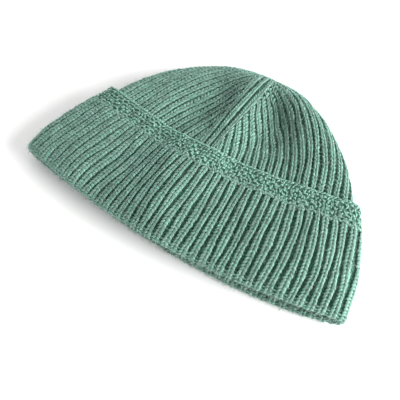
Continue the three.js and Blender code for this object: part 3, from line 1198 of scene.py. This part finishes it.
class Cuff(RibKnit):
    """The turned-up layer: rib columns over the rim fold, a seed stitch band and a chain edge."""

    slot = Slot.CUFF
    on_cuff = True
    fibres = 19000
    rows_inside = 3
    under_band = 1.7  # rows that the columns run on under the band
    under_band_slope = 0.15
    flat_bed = 1.2  # how much the grooves rise where the ribs are pulled flat
    flat_purls = 1.3
    flat_columns = 0.3  # how much the columns sink there
    flat_widening = 0.16
    band_bed = 0.5
    inner_gap = 0.2
    inner_path = 1000.0  # path values from here on lie on the inner face of the shell
    bar = Lay((0, 0, -0.95), (1.15, 0.25, -0.25), (0, 0.5, 0.4), (0, 0.7, 0), (0, 0, 0.6))
    leg = Lay((0.55, 0, -1.05), (0.36, 1.5, -0.1), (0, 0, 0.3), (0.68, 0, 0), (0, 0, 0.55))
    band_row = 2.6
    band_pitch = 2.7
    chain_pitch = 2.4
    chain = ((-0.3, -0.9, 0.7), (0.5, -1.8, -0.6))  # rows past the edge, height and slant

    def in_band(self, row: Array) -> Array:
        """Share by which a row lies in the band."""
        return np.clip((row - self.form.sizes.band_foot) / 2, 0, 1)

    @staticmethod
    def flattening(row: Array | float) -> Array:
        """Share by which the ribs are pulled flat, full on the rim fold and none above it."""
        return np.clip((3.0 - row) / 4.5, 0, 1) * np.clip((row + 18) / 6, 0, 1)

    def shell(self) -> Piece:
        """Models the wall behind the stitches, with the rim fold at its foot.

        Returns:
            The closed shell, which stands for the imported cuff.
        """
        sizes, s = self.form.sizes, self.stitches
        fold, top = math.pi * sizes.fold_radius, sizes.cuff_height
        inner_rows = np.linspace(top, 0, 14) + self.inner_path
        rows = np.concatenate([np.linspace(-fold, top, 44), inner_rows, [-fold]])

        def place(path: Array, around: Array, groove: Array) -> Array:
            """Outer face and fold for low path values, inner face for high ones."""
            in_band, flat = self.in_band(path), self.flattening(path)
            bed = s.groove_bed + self.flat_bed * flat
            bed = bed + s.rise * self.form.slack(around) * (1 - flat)
            ribbed = s.crest_bed + (bed - s.crest_bed) * groove
            depth = ribbed * (1 - in_band) + (s.crest_bed - self.band_bed) * in_band
            front = self.form.cuff_point(np.minimum(path, top), around, depth)
            along = np.clip(path - self.inner_path, 0, top)
            out = sizes.cuff_inside + self.inner_gap + self.form.curl(along)
            back = self.form.rest(self.form.free_point(along, around, out))
            return np.where((path >= self.inner_path)[:, None], back, front)

        def relief(path: Array, groove: Array) -> Array:
            """Painted shade: deep in the grooves of the outer face."""
            outside = 0.7 + 0.3 * groove * (1 - self.in_band(path))
            return np.where(path >= self.inner_path, 0.5, outside)

        return self.wrap("cuff_knit", rows, place, relief)

    def stitch_rows(self) -> tuple[Strands, Strands]:
        """Lays the rib stitches from the foot of the band, over the rim and a little way inside.

        Returns:
            The knit columns and the purl bars.
        """
        sizes, form = self.form.sizes, self.form
        knits, purls = Strands(), Strands()
        count = sizes.ribs_around
        crests = sizes.first_line + np.arange(count) / count
        grooves = crests + 0.5 / count
        lowest = -math.pi * sizes.fold_radius - self.rows_inside * sizes.row
        for row in np.arange(sizes.band_foot + self.under_band, lowest, -sizes.row):
            rows, pitch = (np.full(count, value) for value in (row, form.girth(max(row, 0)) / count))
            flat = float(self.flattening(row))
            sink = self.flat_columns * flat + self.under_band_slope * max(row - sizes.band_foot, 0)
            self.columns(knits, crests, rows, pitch, -1.0, -sink, 1 + self.flat_widening * flat)
            if row <= sizes.band_foot:
                lift = flat * (self.flat_purls - self.stitches.rise * form.slack(grooves))
                self.purls(purls, grooves, rows + sizes.row / 2, pitch, lift)
        return knits, purls

    def seed_band(self) -> Strands:
        """Lays the seed stitch band, knit and purl stitches by turns like a chequerboard.

        Returns:
            The band's grains.
        """
        sizes = self.form.sizes
        band = Strands()
        count = 2 * sizes.ribs_around
        places = sizes.first_line + np.arange(count) / count
        rows = np.arange(sizes.band_foot + 1.0, sizes.cuff_height - 1.2, self.band_row)
        for i, row in enumerate(rows):
            raised = (np.arange(count) + i) % 2 == 0
            scale = self.form.girth(row) / count / self.band_pitch
            for chosen, lay, mirror in (
                (raised, self.bar, 1.0), (~raised, self.leg, -1.0), (~raised, self.leg, 1.0),
            ):
                jitter = self.random.normal(0, 0.2, (4, count // 2))
                around, at_row = places[chosen] + jitter[0] * 0.001, row + jitter[1] * 1.6
                width, height = scale * (1 + jitter[2]), jitter[1] * 0.8
                band.add(around, at_row, lay, width, mirror, height, jitter[3] * 1.6)
        return band

    def edge_chain(self) -> Strands:
        """Lays the chain of stitches along the free edge.

        Returns:
            The edge's grains.
        """
        sizes = self.form.sizes
        edge = Strands()
        count = 2 * sizes.ribs_around
        places = np.arange(count) / count
        scale = np.full(count, self.form.girth(sizes.cuff_height) / count / self.chain_pitch)
        for past, height, slant in self.chain:
            jitter = self.random.normal(0, 0.17, (3, count))
            lay = Lay((0, 0, height), (1.5, slant, 0), (0, 0, 0.35), (0, 0.52, 0), (0, 0, 0.55))
            row = sizes.cuff_height + past + jitter[0]
            edge.add(places, row, lay, scale, 1.0, jitter[1], jitter[2])
        return edge

    def build(self, wool: Material) -> None:
        """Builds and dresses every piece of the cuff.

        Args:
            wool: the cuff's wool.
        """
        shell = self.shell()
        Bench.finish(shell, self.slot, wool)
        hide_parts("cuff")
        knits, purls = self.stitch_rows()
        self.dress(wool, (
            ("cuff_columns_front", knits, self.grains.leg, Side.FRONT),
            ("cuff_columns_back", knits, self.grains.leg, Side.BACK),
            ("cuff_purls", purls, self.grains.purl, None),
            ("seed_band", self.seed_band(), self.grains.leg, None),
            ("edge_chain", self.edge_chain(), self.grains.leg, None),
            ("cuff_fuzz", self.fuzz(knits), self.grains.fibre, None),
        ))


@dataclass(frozen=True)
class Studio:
    """Pale floor, soft light and the camera at the photograph's viewing angle."""

    target: tuple[float, float, float] = (8.3, -39.5, 16.2)
    azimuth: float = 31.65
    elevation: float = 59.2
    distance: float = 319.6
    lens: float = 43.4
    sky: float = 1.0
    key_azimuth: float = 92.0
    key_elevation: float = 24.0
    key_size: float = 0.7
    key_distance: float = 1.3
    key_power: float = 43.0

    @staticmethod
    def direction(azimuth: float, elevation: float) -> Vector:
        """Direction towards a place around the hat; azimuth 0 is in front of the rim."""
        turn, rise = math.radians(azimuth), math.radians(elevation)
        flat = math.cos(rise)
        return Vector((math.sin(turn) * flat, -math.cos(turn) * flat, math.sin(rise)))

    @staticmethod
    def stand(thing: bpy.types.ID, back: Vector, place: Vector) -> Piece:
        """Stands a camera or a light in the scene.

        Args:
            thing: its data.
            back: direction that its back is turned to.
            place: where it stands.

        Returns:
            The new object.
        """
        stand = bpy.data.objects.new(thing.name, thing)
        bpy.context.scene.collection.objects.link(stand)
        stand.location = place
        stand.rotation_euler = back.to_track_quat("Z", "Y").to_euler()
        return stand

    def add_camera(self) -> None:
        """Puts the camera where the photograph was taken from."""
        camera = bpy.data.cameras.new("camera")
        camera.lens = self.lens
        camera.sensor_width = 36
        camera.clip_start = 0.01
        back = self.direction(self.azimuth, self.elevation)
        place = (Vector(self.target) + back * self.distance) * MM
        bpy.context.scene.camera = self.stand(camera, back, place)

    def add_floor(self) -> None:
        """Lays the plain pale floor."""
        Bench.clear()
        bpy.ops.mesh.primitive_plane_add(size=8, location=(0, 0, 0))
        floor = bpy.context.object
        floor.name = floor.data.name = "floor"
        paper = bpy.data.materials.new("pale_paper")
        paper.use_nodes = True
        shader = paper.node_tree.nodes["Principled BSDF"]
        shader.inputs["Base Color"].default_value = (0.81, 0.81, 0.805, 1)
        shader.inputs["Roughness"].default_value = 0.9
        shader.inputs["Specular IOR Level"].default_value = 0.1
        floor.data.materials.append(paper)

    def add_key_light(self) -> None:
        """Adds the one soft square light, low at the right, which faces the hat."""
        light = bpy.data.lights.new("key_light", "AREA")
        light.shape = "SQUARE"
        light.size = self.key_size
        light.energy = self.key_power
        back = self.direction(self.key_azimuth, self.key_elevation)
        self.stand(light, back, back * self.key_distance)

    def build(self) -> None:
        """Sets up the whole studio."""
        self.add_camera()
        self.add_floor()
        self.add_key_light()
        world = bpy.data.worlds.new("studio")
        world.use_nodes = True
        world.node_tree.nodes["Background"].inputs["Color"].default_value = (1, 1, 1, 1)
        world.node_tree.nodes["Background"].inputs["Strength"].default_value = self.sky
        bpy.context.scene.world = world
        bpy.context.scene.view_settings.view_transform = "Standard"


# the middle colour of each is the painted shade of the grooves
CROWN_WOOL = WoolFinish("crown_wool", (0.128, 0.232, 0.19), (0.038, 0.115, 0.08), (0.18, 0.29, 0.25))
CUFF_WOOL = WoolFinish("cuff_wool", (0.13, 0.235, 0.193), (0.038, 0.115, 0.08), (0.185, 0.295, 0.255))


def main() -> None:
    """Builds the hat and its studio."""
    logging.basicConfig(level=logging.INFO, format="%(name)s: %(message)s")
    studio = Studio()
    studio.build()
    form = KnitForm(SIZES)
    grains = Grains(Grain.yarn(6, (-0.25, 0.25)), Grain.yarn(5, (0.0,)), Grain.fibre())
    stitches = StitchSizes()
    Crown(form, grains, stitches, 11).build(CROWN_WOOL.material())
    Cuff(form, grains, stitches, 23).build(CUFF_WOOL.material())


if __name__ == "__main__":
    main()
